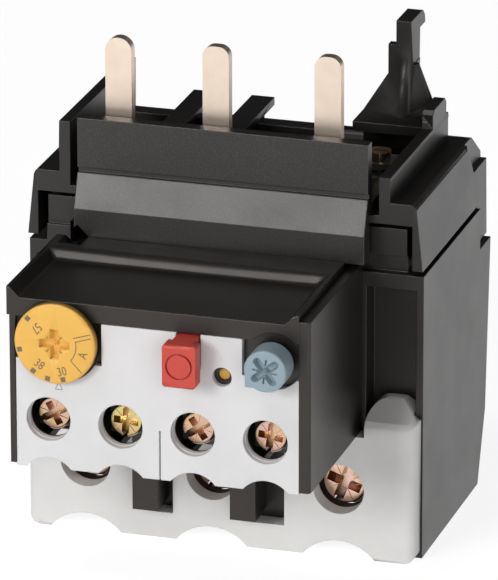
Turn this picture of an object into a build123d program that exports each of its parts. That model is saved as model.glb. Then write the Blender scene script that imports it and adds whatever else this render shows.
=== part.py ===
"""Thermal overload relay for direct mounting under a contactor.

X runs to the right, Y to the rear and Z up. The origin is under the middle of the
relay, on the surface that it stands on. Stations along Y in this file are counted
from the front face of the terminal cover and are moved to the origin by y_cover.
"""
import os

from build123d import *

os.makedirs("parts", exist_ok=True)

# Overall sizes
body_width = 60.0
body_depth = 40.2
block_reach = 23.94
face_reach = 4.56
y_cover = (block_reach + face_reach - body_depth) / 2
half = body_width / 2

# Clearances
fit = 0.05
play = 0.15
gap = 0.3

# Lower shell
shell_height = 43.8
shell_wall = 2.4
shell_floor = 2.4
ledge_z = 37.4
ledge_y = 34.2
foot_y = 34.0
knee_y = 38.0
knee_z = 10.9
collar_margin = 2.7
collar_top = 51.6
collar_face = 50.6
collar_y = 3.5
collar_wall = 1.5
panel_top = 46.3
rib = 1.8
sill_z = 17.0
sill_y = 9.4
loft_z = 42.8

# Terminal cover
cover_thick = 2.9
cover_top = 19.1
cover_edge = 0.25
horn_face = 20.6
horn_top = 23.9
horn_depth = 5.8
horn_left = 21.9
scallop_r = 7.1
scallop_rise = 2.55

# Main poles
pole_pitch = 19.43
pole_offset = -1.34
pole_z = 10.63
access_r = 3.85
main_head_r = 3.4
main_shank_r = 2.45
main_head_y = 3.2
main_head = 2.8
tongue_y = 14.5
tongue = 2.0
tongue_half = 4.0
main_cage_half = 6.2
main_cage_h = 9.7
main_cage_wall = 1.8
main_cage_y = 9.9
main_wire = 5.0
bar_z = 17.2
bar = 1.6
riser_y = 28.0

# Contact blades and bimetal strips
blade_x = (-17.0, -2.2, 14.7)
blade_width = 4.0
blade = 1.6
blade_y = 5.55
blade_tip = 75.0
foot_z = 46.2
strip_y = 24.0
strip_width = 5.0
strip = 0.9
strip_end = 24.0
heater_z = 27.0
heater_top = 39.5

# Upper housing
skirt_z = 44.8
skirt = 1.6
shoulder_z = 54.85
shoulder_draft = 1.05
deck_z = 52.8
wall_out = 25.06
wall_in = 23.4
left_wall_top = 62.6
right_wall_top = 58.6
front_y = 2.2
back_slope_y = 33.7
back_z = 51.0
rail_y = 16.6
rail = 2.6
rail_z = 60.0

# Blade carrier with the front nose
nose_half = 22.0
nose_y = 1.3
nose_top = 63.65
nose_low = 46.0
nose_step = 1.9
carrier_floor = 54.3

# Control block
block_width = 45.0
block_left = -24.2
block_floor = 19.2
block_top = 43.2
block_wall = 1.2
cheek = 1.7
cheek_top = 45.2
plate = 1.04
rim = 0.94
face_wall = 1.5
terminal_top = 33.2
deck = 1.2
partition_y = -7.2
latch_x = (-12.45, 2.5)
latch_width = 3.9
latch_proud = 3.4
latch_low = 5.4
block_right = block_left + block_width
cheek_x = block_right - cheek

# Control terminals
aux_pitch = 10.85
aux_offset = -2.145
aux_z = 26.4
aux_access_r = 3.33
aux_head_r = 2.5
aux_shank_r = 1.5
aux_head_y = -21.3
aux_head = 1.8
aux_tongue_y = -13.7
aux_tongue = 1.0
aux_cage_half = 3.5
aux_cage_h = 6.8
aux_cage_y = -17.3
aux_cage_wall = 1.2
aux_wire = 3.0
arch_r = 4.3
arch_rise = 1.6
rail_plate_z = 31.0
rail_plate = 1.0
rail_half = 1.1
rail_x = (-12.5, -7.57, 3.28, 10.5)

# Hood
hood_over = 0.4
rim_z = 46.15
tray_z = 44.6
tray_left = -22.64
tray_right = 16.93
tray_back = -7.65
lip_z = 41.85
hood_back = -0.7

# Setting dial, buttons and indicator
dial_x = -16.8
dial_z = 38.7
dial_r = 6.05
dial_thick = 1.5
dial_gap = 0.5
dial_shaft_r = 1.6
cam_r = 2.6
cam_throw = 0.8
hub_x = -21.4
hub_y = -10.5
hub_pin_r = 0.9
stop_x = 2.65
stop_z = 38.3
stop_width = 5.0
stop_height = 6.4
stop_head = 2.3
stop_stem = 3.2
reset_x = 15.4
reset_z = 38.9
reset_r = 3.15
reset_head = 3.9
well_r = 4.25
spindle_r = 1.0
flag_x = 7.68
flag_z = 35.66
flag_r = 0.85
flag_hole_r = 1.45

# Trip mechanism
slide_z = 21.3
slide_h = 2.0
slide_y = 22.5
slide_depth = 3.0
arm_x = -21.5
arm = 1.6
lever_pivot_x = -18.0
lever_pivot_z = 40.5
rocker_x = -1.0
rocker_z = 38.0
pivot_r = 1.2
rocker_y = -4.8
rocker_depth = 2.0

pole_x = [pole_offset + pole_pitch * (i - 1) for i in range(3)]
rib_x = [(pole_x[i] + pole_x[i + 1]) / 2 for i in range(2)]
aux_x = [aux_offset + aux_pitch * (i - 1.5) for i in range(4)]
inner_half = half - shell_wall
collar_half = half - collar_margin


def span(x0, x1, y0, y1, z0, z1, mode=Mode.ADD):
    """A block between two corners."""
    with Locations(((x0 + x1) / 2, (y0 + y1) / 2 + y_cover, (z0 + z1) / 2)):
        Box(x1 - x0, y1 - y0, z1 - z0, mode=mode)


def rod(x, z, radius, y0, y1, mode=Mode.ADD):
    """A cylinder along Y."""
    with Locations(Location((x, (y0 + y1) / 2 + y_cover, z), (90, 0, 0))):
        Cylinder(radius, y1 - y0, mode=mode)


def post(x, y, radius, z0, z1, mode=Mode.ADD):
    """A cylinder along Z."""
    with Locations((x, y + y_cover, (z0 + z1) / 2)):
        Cylinder(radius, z1 - z0, mode=mode)


def side_profile(points, x0, x1, mode=Mode.ADD):
    """A side view outline, as (y, z) points, extruded across X."""
    with BuildSketch(Plane.YZ.offset(x0)) as outline:
        Polygon(*[(y + y_cover, z) for y, z in points], align=None)
    extrude(outline.sketch, amount=x1 - x0, mode=mode)


def front_profile(points, y0, y1, mode=Mode.ADD):
    """A front view outline, as (x, z) points, extruded along Y."""
    with BuildSketch(Plane.XZ.offset(-(y1 + y_cover))) as outline:
        Polygon(*points, align=None)
    extrude(outline.sketch, amount=y1 - y0, mode=mode)


def save(piece, label):
    """Label a finished piece and write it."""
    piece.part.label = label
    export_step(piece.part, f"parts/{label}.step")


# Lower shell: three pole chambers, open at the top and notched below for the wires
chambers = [
    (-inner_half, rib_x[0] - rib / 2),
    (rib_x[0] + rib / 2, rib_x[1] - rib / 2),
    (rib_x[1] + rib / 2, inner_half),
]
collar_inner = collar_half - collar_wall
back_y = ledge_y - shell_wall
arm_left = arm_x - arm / 2
slide_travel = 1.6
with BuildPart() as base_housing:
    side_profile(
        [
            (cover_thick, 0),
            (foot_y, 0),
            (knee_y, knee_z),
            (body_depth, ledge_z),
            (ledge_y, ledge_z),
            (ledge_y, shell_height),
            (cover_thick, shell_height),
        ],
        -half,
        half,
    )
    span(-collar_half, collar_half, collar_y, ledge_y, shell_height - 1, collar_top)
    span(-collar_half, collar_half, cover_thick, collar_y, shell_height - 1, panel_top)
    front_wall_back = collar_y + collar_wall
    span(-collar_half, collar_half, collar_y, front_wall_back, collar_face, collar_top, Mode.SUBTRACT)
    for left, right in chambers:
        side_profile(
            [
                (cover_thick + shell_wall, shell_floor),
                (foot_y - shell_wall, shell_floor),
                (knee_y - shell_wall, knee_z),
                (body_depth - 1.4 * shell_wall, ledge_z - shell_wall),
                (back_y, ledge_z - shell_wall),
                (back_y, loft_z),
                (sill_y, loft_z),
                (sill_y, sill_z),
                (cover_thick + shell_wall, sill_z),
            ],
            left,
            right,
            Mode.SUBTRACT,
        )
        span(
            max(left, -collar_inner),
            min(right, collar_inner),
            front_wall_back,
            back_y,
            loft_z,
            collar_top,
            Mode.SUBTRACT,
        )
    wire_back = tongue_y + tongue + main_wire
    for x in pole_x:
        rod(x, pole_z, access_r + 0.25, cover_thick, cover_thick + shell_wall, Mode.SUBTRACT)
        rod(x, scallop_rise - scallop_r, scallop_r, cover_thick, wire_back, Mode.SUBTRACT)
        span(x - 5, x + 5, cover_thick + shell_wall, wire_back, 0, shell_floor, Mode.SUBTRACT)
    for x in blade_x:
        span(x - 2, x + 2, riser_y + bar, knee_y, bar_z + bar, heater_z)
    for x in rib_x:
        slot_y = slide_y + slide_depth
        span(x - rib, x + rib, slide_y - play, slot_y + play, slide_z - fit, slide_z + slide_h + play, Mode.SUBTRACT)
    span(
        arm_left - play,
        arm_left + arm + slide_travel + play,
        cover_thick,
        sill_y,
        slide_z - play,
        slide_z + slide_h + play,
        Mode.SUBTRACT,
    )
    pocket_top = loft_z - shell_wall / 2
    span(horn_left - 0.5, half - 1.1, cover_thick, 7.0, cover_top, pocket_top, Mode.SUBTRACT)
    span(-half + 1.1, block_left - 0.4, cover_thick, 7.0, cover_top, pocket_top, Mode.SUBTRACT)
save(base_housing, "base_housing")

# Upper housing: a cap with shoulders, two upright side walls and a rear slope
with BuildPart() as upper_housing:
    shoulder = half - shoulder_draft
    skirt_in = half - skirt
    front_profile(
        [
            (-half, skirt_z),
            (-shoulder, shoulder_z),
            (-wall_out - 2.5, shoulder_z + 0.1),
            (-wall_out - 0.9, shoulder_z + 1.1),
            (-wall_out - 0.1, shoulder_z + 2.8),
            (-wall_out, left_wall_top),
            (-wall_in, left_wall_top),
            (-wall_in, deck_z),
            (wall_in, deck_z),
            (wall_in, right_wall_top),
            (wall_out, right_wall_top),
            (wall_out + 0.1, shoulder_z + 2.8),
            (wall_out + 0.9, shoulder_z + 1.1),
            (wall_out + 2.5, shoulder_z + 0.1),
            (shoulder, shoulder_z),
            (half, skirt_z),
            (skirt_in, skirt_z),
            (skirt_in, collar_top),
            (-skirt_in, collar_top),
            (-skirt_in, skirt_z),
        ],
        front_y,
        ledge_y,
    )
    side_profile(
        [
            (ledge_y, ledge_z + 0.6),
            (body_depth - 0.1, ledge_z + 0.6),
            (body_depth - 0.7, back_z),
            (ledge_y, shoulder_z),
        ],
        -half + 0.6,
        half - 0.6,
    )
    side_profile(
        [
            (back_slope_y, shoulder_z),
            (back_slope_y, left_wall_top + 1),
            (body_depth + 1, left_wall_top + 1),
            (body_depth + 1, shoulder_z - 1),
            (back_slope_y + 0.5, shoulder_z - 0.1),
        ],
        -half,
        half,
        Mode.SUBTRACT,
    )
    side_profile(
        [(25.2, deck_z), (25.2, 60.8), (25.8, 61.4), (31.8, 61.4), (32.6, 60.6), (32.6, deck_z)],
        wall_in,
        wall_out,
    )
    span(-18.5, 12.5, rail_y, rail_y + rail, deck_z, rail_z)
    for x in (-11.75, -2.8):
        span(x, x + 3.5, 9.7, 25.6, rail_z, rail_z + 1.2)
        span(x + 1.2, x + 2.3, rail_y + rail, 24.5, deck_z, rail_z)
    for x in blade_x:
        span(x - 2.3, x + 2.3, blade_y - gap, blade_y + blade + gap, collar_top, deck_z, Mode.SUBTRACT)
    post(19.0, 18.0, 2.4, deck_z, 55.0)
    post(19.0, 18.0, 1.1 + fit, collar_top, 55.0, Mode.SUBTRACT)
save(upper_housing, "upper_housing")

# Hook at the right rear that holds the relay to the contactor
with BuildPart() as contactor_hook:
    span(12.5, wall_in, 26.2, 33.4, 56.9, 58.4)
    span(12.5, wall_in, 32.0, 33.4, deck_z, 56.9)
    front_profile(
        [
            (12.5, 58.4),
            (16.3, 64.4),
            (16.3, 68.9),
            (17.5, 68.9),
            (17.5, 72.6),
            (21.0, 72.6),
            (20.6, 66.0),
            (22.8, 60.4),
            (22.8, 58.4),
        ],
        32.0,
        33.4,
    )
    side_profile([(29.6, 58.4), (32.0, 58.4), (32.0, 66.5)], 18.3, 19.6)
    side_profile([(33.4, 70.4), (39.4, 70.4), (39.4, 71.6), (38.4, 72.6), (33.4, 72.6)], 17.5, 21.0)
    side_profile([(33.4, 56.0), (36.6, 70.4), (33.4, 70.4)], 18.3, 20.2)
save(contactor_hook, "contactor_hook")

# Blade carrier: the front nose with its stepped face, and the floor that holds the blades
with BuildPart() as blade_carrier:
    side_profile(
        [
            (nose_y, nose_top),
            (nose_y, 56.1),
            (nose_y + 0.6, 56.1),
            (nose_y + 0.6, 55.3),
            (nose_y, 55.3),
            (nose_y - nose_step, 50.3),
            (nose_y - nose_step, nose_low),
            (front_y, nose_low),
            (front_y, deck_z),
            (14.0, deck_z),
            (14.0, carrier_floor),
            (nose_y + 2, carrier_floor),
            (nose_y + 2, nose_top),
        ],
        -nose_half,
        nose_half,
    )
    for x in blade_x:
        edge = blade_width / 2 + fit
        span(x - edge, x + edge, blade_y - fit, blade_y + blade + fit, deck_z, carrier_floor, Mode.SUBTRACT)
save(blade_carrier, "blade_carrier")

# Terminal cover with horns beside the control block
with BuildPart() as terminal_cover:
    edge_x = half - cover_edge
    with BuildSketch(Plane.XZ.offset(-(cover_thick + y_cover))) as face:
        Polygon(
            (-edge_x, 0),
            (edge_x, 0),
            (edge_x, cover_top),
            (-edge_x, cover_top),
            align=None,
        )
        fillet(face.vertices().group_by(Axis.Y)[0], 1.8)
        for x in pole_x:
            with Locations((x, pole_z)):
                Circle(access_r, mode=Mode.SUBTRACT)
            with Locations((x, scallop_rise - scallop_r)):
                Circle(scallop_r, mode=Mode.SUBTRACT)
        for left, right in ((-12.6, -7.3), (3.0, 9.8)):
            with Locations(((left + right) / 2, (4.0 + 15.5) / 2)):
                Rectangle(right - left, 11.5, mode=Mode.SUBTRACT)
    extrude(amount=cover_thick)
    horn = [
        (0, cover_top - 1),
        (0, horn_face),
        (0.6, horn_face + 0.9),
        (horn_depth - 1, horn_top),
        (horn_depth + 1, horn_top),
        (horn_depth + 1, cover_top + 0.1),
        (cover_thick, cover_top + 0.1),
        (cover_thick, cover_top - 1),
    ]
    side_profile(horn, horn_left, half - 1.4)
    side_profile(horn, -half + 1.4, block_left - 0.7)
    side_profile(horn[:3] + [(cover_thick, horn_face + 1.7), (cover_thick, cover_top - 1)], half - 1.4, edge_x)
    side_profile(horn[:3] + [(cover_thick, horn_face + 1.7), (cover_thick, cover_top - 1)], -edge_x, -half + 1.4)
save(terminal_cover, "terminal_cover")

# Control block: terminal bay below, mechanism bays above, open to the right and rear
with BuildPart() as control_block:
    inner_left = block_left + block_wall
    inner_right = cheek_x - block_wall
    plate_y = -block_reach
    face_y = plate_y + plate
    bay_y = face_y + face_wall
    rear_bay_y = partition_y + deck
    span(block_left, cheek_x, face_y, cover_thick, block_floor, block_top)
    span(block_left, block_left + rim, plate_y, face_y, block_floor, lip_z)
    span(inner_left, inner_right, bay_y, partition_y, block_floor + block_wall, terminal_top, Mode.SUBTRACT)
    span(inner_left, inner_right, bay_y, partition_y, terminal_top + deck, block_top, Mode.SUBTRACT)
    span(inner_left, inner_right, rear_bay_y, cover_thick, block_floor + block_wall, block_top, Mode.SUBTRACT)
    for x in [(aux_x[i] + aux_x[i + 1]) / 2 for i in range(3)]:
        span(x - 0.6, x + 0.6, bay_y, partition_y, block_floor + block_wall, rail_plate_z - 0.2)
    aux_wire_back = aux_tongue_y + aux_tongue + aux_wire + 0.5
    for x in aux_x:
        rod(x, aux_z, aux_access_r, face_y, bay_y, Mode.SUBTRACT)
        span(x - 3, x + 3, face_y, aux_wire_back, block_floor, block_floor + block_wall, Mode.SUBTRACT)
    for x in rail_x:
        span(
            x - rail_half,
            x + rail_half,
            partition_y,
            rear_bay_y,
            rail_plate_z,
            rail_plate_z + rail_plate,
            Mode.SUBTRACT,
        )
    rod(lever_pivot_x, lever_pivot_z, pivot_r, rear_bay_y, rocker_y + rocker_depth + 1)
    rod(rocker_x, rocker_z, pivot_r, rear_bay_y, rocker_y + rocker_depth + 1)
    rod(dial_x, dial_z, dial_shaft_r + fit, face_y, bay_y, Mode.SUBTRACT)
    rod(reset_x, reset_z, spindle_r + 0.6 + fit, face_y, bay_y, Mode.SUBTRACT)
    rod(flag_x, flag_z, flag_r + fit, face_y, bay_y, Mode.SUBTRACT)
    rod(flag_x, flag_z, flag_r + fit, partition_y, rear_bay_y, Mode.SUBTRACT)
    stem_half = stop_stem / 2 + fit
    span(
        stop_x - stem_half,
        stop_x + stem_half,
        face_y,
        bay_y,
        stop_z + 0.2 - fit,
        stop_z + stop_height / 2 + fit,
        Mode.SUBTRACT,
    )
    post(hub_x, hub_y, hub_pin_r, terminal_top + deck, block_top - 2)
save(control_block, "control_block")

# Latch feet under the control block, each with a nose that enters its window in the cover
for number, x in enumerate(latch_x, start=1):
    with BuildPart() as latch_foot:
        span(x, x + latch_width, -latch_proud, -0.1, latch_low, block_floor)
        span(x + 0.7, x + latch_width - 0.2, -0.1, cover_thick, latch_low, 15.2)
    save(latch_foot, f"latch_foot_{number}")

# Hood over the control block, with a recessed tray that is open to the front
with BuildPart() as hood:
    hood_left = block_left - hood_over
    span(hood_left, cheek_x, plate_y, hood_back, block_top, rim_z)
    span(hood_left, cheek_x, plate_y, face_y, lip_z, block_top)
    depth = rim_z - tray_z
    with BuildSketch(Plane.XY.offset(tray_z)) as tray_floor:
        with Locations(((tray_left + tray_right) / 2, (plate_y + tray_back) / 2 + y_cover)):
            Rectangle(tray_right - tray_left, tray_back - plate_y)
    extrude(amount=depth, taper=-45, mode=Mode.SUBTRACT)
    span(-23.0, -20.8, -5.2, -1.2, tray_z - 0.6, rim_z, Mode.SUBTRACT)
    rod(reset_x, reset_z, well_r, plate_y, face_y, Mode.SUBTRACT)
save(hood, "hood")

# Right cheek of the control block
with BuildPart() as side_cover:
    span(cheek_x, block_right, plate_y, cover_thick, block_floor, cheek_top)
    chamfer(side_cover.faces().sort_by(Axis.X)[-1].edges().filter_by(Axis.Z).sort_by(Axis.Y)[:1], 0.4)
save(side_cover, "side_cover")

# Light front plate
with BuildPart() as front_plate:
    plate_left = block_left + rim + 0.02
    plate_low = block_floor - 0.3
    tab_top = lip_z - 0.1
    with BuildSketch(Plane.XZ.offset(-(face_y + y_cover))) as front:
        Polygon(
            (plate_left, plate_low),
            (plate_left, 35.4),
            (-10.33, 35.4),
            (-10.33, tab_top),
            (0.84, tab_top),
            (0.84, 36.6),
            (4.52, 36.6),
            (4.52, tab_top),
            (10.7, tab_top),
            (10.7, 36.3),
            (cheek_x, 36.3),
            (cheek_x, plate_low),
            align=None,
        )
        with Locations((dial_x, dial_z)):
            Circle(dial_r + gap, mode=Mode.SUBTRACT)
        with Locations((reset_x, reset_z)):
            Circle(well_r, mode=Mode.SUBTRACT)
        with Locations((flag_x, flag_z)):
            Circle(flag_hole_r, mode=Mode.SUBTRACT)
        for x in aux_x:
            with Locations((x, aux_z)):
                Circle(aux_access_r, mode=Mode.SUBTRACT)
            with Locations((x, plate_low + arch_rise - arch_r)):
                Circle(arch_r, mode=Mode.SUBTRACT)
    extrude(amount=plate)
    slit_x = (aux_x[1] + aux_x[2]) / 2 + 0.5
    span(slit_x - 0.13, slit_x + 0.13, plate_y, plate_y + 0.5, plate_low, aux_z, Mode.SUBTRACT)
save(front_plate, "front_plate")

# Main current path of each pole, from the blade to the wire clamp
for number, (x, screw_x) in enumerate(zip(blade_x, pole_x), start=1):
    with BuildPart() as contact_blade:
        tip = 1.2
        front_profile(
            [
                (x - blade_width / 2, foot_z),
                (x + blade_width / 2, foot_z),
                (x + blade_width / 2, blade_tip - 1.8),
                (x + tip / 2, blade_tip),
                (x - tip / 2, blade_tip),
                (x - blade_width / 2, blade_tip - 1.8),
            ],
            blade_y,
            blade_y + blade,
        )
        span(x - 2, x + 2, blade_y, strip_y + strip_width / 2, foot_z, foot_z + blade)
        strip_face = x + strip / 2
        span(strip_face, strip_face + 1.2, strip_y - 2.5, strip_y + 2.5, heater_top + 1, foot_z)
    save(contact_blade, f"contact_blade_{number}")

    with BuildPart() as bimetal:
        span(x - strip / 2, strip_face, strip_y - strip_width / 2, strip_y + strip_width / 2, strip_end, foot_z)
    save(bimetal, f"bimetal_strip_{number}")

    with BuildPart() as heater:
        sleeve_y0 = strip_y - strip_width / 2 - 1.5
        span(x - 1.9, x + 1.9, sleeve_y0, riser_y, heater_z, heater_top)
        for turn in range(5):
            z = heater_z + 1.0 + 2.4 * turn
            span(x - 2.3, x + 2.3, sleeve_y0 - 0.4, riser_y, z, z + 1.2)
        span(x - 1.0, x + 1.0, strip_y - 3.1, strip_y + 3.1, heater_z, heater_top, Mode.SUBTRACT)
        span(x - 1.9, x - 1.0, strip_y - 2, strip_y + 2, heater_top, foot_z)
    save(heater, f"heater_winding_{number}")

    with BuildPart() as load_bar:
        reach_left = min(screw_x - tongue_half, x - 2)
        reach_right = max(screw_x + tongue_half, x + 2)
        span(screw_x - tongue_half, screw_x + tongue_half, tongue_y, tongue_y + tongue, pole_z - 5, bar_z)
        span(reach_left, reach_right, tongue_y, riser_y + bar, bar_z, bar_z + bar)
        span(x - 2, x + 2, riser_y, riser_y + bar, bar_z + bar, heater_z + 3)
    save(load_bar, f"load_bar_{number}")

    with BuildPart() as wire_clamp:
        low = pole_z - main_cage_h / 2
        high = pole_z + main_cage_h / 2
        cage_back = tongue_y + tongue + main_wire + main_cage_wall
        span(screw_x - main_cage_half, screw_x + main_cage_half, main_cage_y, cage_back, low, high)
        span(
            screw_x - main_cage_half + main_cage_wall / 1.5,
            screw_x + main_cage_half - main_cage_wall / 1.5,
            main_cage_y + main_cage_wall,
            cage_back - main_cage_wall,
            low,
            high,
            Mode.SUBTRACT,
        )
        rod(screw_x, pole_z, main_shank_r + fit, main_cage_y, main_cage_y + main_cage_wall, Mode.SUBTRACT)
    save(wire_clamp, f"main_clamp_{number}")

    with BuildPart() as screw:
        rod(screw_x, pole_z, main_head_r, main_head_y, main_head_y + main_head)
        rod(screw_x, pole_z, main_shank_r, main_head_y + main_head, tongue_y)
        slot = 0.6
        span(screw_x - main_head_r, screw_x + main_head_r, main_head_y, main_head_y + 1.2, pole_z - slot, pole_z + slot, Mode.SUBTRACT)
    save(screw, f"main_screw_{number}")

# Control terminals: rail, wire clamp and screw for each of the four
for number, (x, tail_x) in enumerate(zip(aux_x, rail_x), start=1):
    tip_z = 40.5
    with BuildPart() as contact_rail:
        plate_top = rail_plate_z + rail_plate
        span(x - 2.2, x + 2.2, aux_tongue_y, aux_tongue_y + aux_tongue, aux_z - 2.9, rail_plate_z)
        span(x - 2.2, x + 2.2, aux_tongue_y, -9.0, rail_plate_z, plate_top)
        span(min(x - 2.2, tail_x - rail_half), max(x + 2.2, tail_x + rail_half), -9.0, -7.6, rail_plate_z, plate_top)
        span(tail_x - rail_half, tail_x + rail_half, -7.6, 1.0, rail_plate_z, plate_top)
        span(tail_x - rail_half, tail_x + rail_half, 0, 1.0, plate_top, tip_z + 1)
        span(tail_x - rail_half, tail_x + rail_half, rocker_y + 0.2, 0, tip_z, tip_z + 1)
    save(contact_rail, f"contact_rail_{number}")

    with BuildPart() as aux_clamp:
        low = aux_z - aux_cage_h / 2
        high = aux_z + aux_cage_h / 2
        cage_back = aux_tongue_y + aux_tongue + aux_wire + aux_cage_wall
        span(x - aux_cage_half, x + aux_cage_half, aux_cage_y, cage_back, low, high)
        span(
            x - aux_cage_half + 0.8,
            x + aux_cage_half - 0.8,
            aux_cage_y + aux_cage_wall,
            cage_back - aux_cage_wall,
            low,
            high,
            Mode.SUBTRACT,
        )
        rod(x, aux_z, aux_shank_r + fit, aux_cage_y, aux_cage_y + aux_cage_wall, Mode.SUBTRACT)
    save(aux_clamp, f"control_clamp_{number}")

    with BuildPart() as screw:
        rod(x, aux_z, aux_head_r, aux_head_y, aux_head_y + aux_head)
        rod(x, aux_z, aux_shank_r, aux_head_y + aux_head, aux_tongue_y)
        span(x - aux_head_r, x + aux_head_r, aux_head_y, aux_head_y + 0.8, aux_z - 0.4, aux_z + 0.4, Mode.SUBTRACT)
    save(screw, f"control_screw_{number}")

# Setting dial with its shaft and cam
dial_back = plate_y - dial_gap
cam_left = dial_x - cam_throw - cam_r
with BuildPart() as setting_dial:
    rod(dial_x, dial_z, dial_r, dial_back - dial_thick, dial_back)
    chamfer(setting_dial.edges().sort_by(Axis.Y)[0], 0.3)
    rod(dial_x, dial_z, 2.4, dial_back, face_y)
    rod(dial_x, dial_z, dial_shaft_r, face_y, -15.0)
    rod(cam_left + cam_r, dial_z, cam_r, -17.5, -15.0)
    for w, h in ((1.3, 4.6), (4.6, 1.3)):
        span(
            dial_x - w / 2,
            dial_x + w / 2,
            dial_back - dial_thick,
            dial_back - dial_thick + 0.9,
            dial_z - h / 2,
            dial_z + h / 2,
            Mode.SUBTRACT,
        )
save(setting_dial, "setting_dial")

# Adjusting lever that follows the cam
with BuildPart() as adjusting_lever:
    post(hub_x, hub_y, 1.5, 36.0, 40.0)
    span(cam_left - 1.1, cam_left - 0.1, -17.5, hub_y, 37.4, 39.8)
    span(hub_x + 0.8, -13.0, hub_y - 0.6, hub_y + 0.6, 36.4, 39.6)
    post(hub_x, hub_y, hub_pin_r + fit, 36.0, 40.0, Mode.SUBTRACT)
save(adjusting_lever, "adjusting_lever")

# Stop button with its stem
with BuildPart() as stop_button:
    head_y = plate_y - face_reach
    span(
        stop_x - stop_width / 2,
        stop_x + stop_width / 2,
        head_y,
        head_y + stop_head,
        stop_z - stop_height / 2,
        stop_z + stop_height / 2,
    )
    fillet(stop_button.edges().filter_by(Axis.Y), 0.5)
    stem = stop_stem / 2
    span(stop_x - stem, stop_x + stem, head_y + stop_head, -12.0, stop_z + 0.2, stop_z + stop_height / 2)
save(stop_button, "stop_button")

# Reset button: a plunger that slides, with a knob that turns on it
with BuildPart() as reset_plunger:
    rod(reset_x, reset_z, spindle_r, head_y + 1.2, face_y - 0.4)
    rod(reset_x, reset_z, spindle_r + 0.6, face_y - 0.4, -12.0)
save(reset_plunger, "reset_plunger")

with BuildPart() as reset_knob:
    rod(reset_x, reset_z, reset_r, head_y, head_y + reset_head)
    rod(reset_x, reset_z, spindle_r + fit, head_y + 1.2, head_y + reset_head, Mode.SUBTRACT)
    for w, h in ((0.7, 3.6), (3.6, 0.7)):
        span(reset_x - w / 2, reset_x + w / 2, head_y, head_y + 0.8, reset_z - h / 2, reset_z + h / 2, Mode.SUBTRACT)
save(reset_knob, "reset_knob")

# Trip indicator pin
with BuildPart() as trip_indicator:
    rod(flag_x, flag_z, flag_r, face_y + 0.4, rear_bay_y + 0.4)
save(trip_indicator, "trip_indicator")

# Trip slide: a comb beside the strip ends, with an arm into the control block
slide_top = slide_z + slide_h
with BuildPart() as trip_slide:
    slide_end = slide_y + slide_depth
    finger_x = [x + strip / 2 + gap for x in blade_x]
    span(arm_left, finger_x[-1] + 1.2, slide_y, slide_end, slide_z, slide_top)
    span(arm_left, arm_left + arm, rocker_y, slide_y, slide_z, slide_top)
    for x in finger_x:
        span(x, x + 1.2, slide_y, slide_end, slide_top, heater_z - 0.5)
save(trip_slide, "trip_slide")

# Trip lever
with BuildPart() as trip_lever:
    lever_left = arm_left + arm + 0.1
    far = rocker_y + rocker_depth
    rod(lever_pivot_x, lever_pivot_z, 2.1, rocker_y, far)
    span(lever_left, lever_left + 2.0, rocker_y, far, slide_z - 0.3, lever_pivot_z)
    span(lever_left + 2.0, -17.1, rocker_y, far, 33.0, 34.6)
    rod(lever_pivot_x, lever_pivot_z, pivot_r + fit, rocker_y, far, Mode.SUBTRACT)
save(trip_lever, "trip_lever")

# Contact rocker with its two bridging pads
with BuildPart() as contact_rocker:
    span(-17.0, 12.4, rocker_y, far, 37.0, 38.6)
    front_profile([(-17.0, 33.0), (-15.8, 33.0), (-15.8, 37.0), (-16.4, 37.0)], rocker_y, far)
    span(-14.0, -6.2, rocker_y, far, 38.6, 40.4)
    rod(rocker_x, rocker_z, 2.1, rocker_y, far)
    rod(rocker_x, rocker_z, pivot_r + fit, rocker_y, far, Mode.SUBTRACT)
save(contact_rocker, "contact_rocker")


def zigzag(x0, x1, y0, y1, z0, z1, leaf):
    """A folded leaf spring between two faces along Y, where leaf is its thickness along Z."""
    step = (y1 - y0) / 4
    lower = [(y0 + i * step, (z0, z1 - leaf)[i % 2]) for i in range(5)]
    upper = [(y, z + leaf) for y, z in reversed(lower)]
    side_profile(lower + upper, x0, x1)


with BuildPart() as stop_spring:
    zigzag(stop_x - 1.2, stop_x + 1.2, -12.0, partition_y, stop_z + 0.4, stop_z + 2.8, 0.8)
save(stop_spring, "stop_spring")

with BuildPart() as reset_spring:
    zigzag(reset_x - 1.2, reset_x + 1.2, -12.0, partition_y, reset_z - 1.2, reset_z + 1.2, 0.8)
save(reset_spring, "reset_spring")

with BuildPart() as snap_spring:
    span(rocker_x - 0.8, rocker_x + 0.8, rocker_y + 0.4, far - 0.4, rocker_z + 2.1, block_top)
save(snap_spring, "snap_spring")

# Calibration screw and its strap beside the right wall
with BuildPart() as calibration_screw:
    post(19.0, 18.0, 1.7, 55.7, 57.2)
    post(19.0, 18.0, 1.1, deck_z, 55.7)
    span(17.2, 20.8, 17.75, 18.25, 56.7, 57.2, Mode.SUBTRACT)
save(calibration_screw, "calibration_screw")

with BuildPart() as calibration_strap:
    span(16.8, 22.8, 16.2, 21.0, 55.0, 55.7)
    post(19.0, 18.0, 1.1 + gap, 55.0, 55.7, Mode.SUBTRACT)
save(calibration_strap, "calibration_strap")
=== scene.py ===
"""Dresses a thermal overload relay: moulded and metal finishes, screw heads, printed marks and a studio."""
import math

import bmesh
import bpy
from bpy.props import FloatProperty, FloatVectorProperty, IntProperty, PointerProperty
from mathutils import Matrix, Vector


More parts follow.
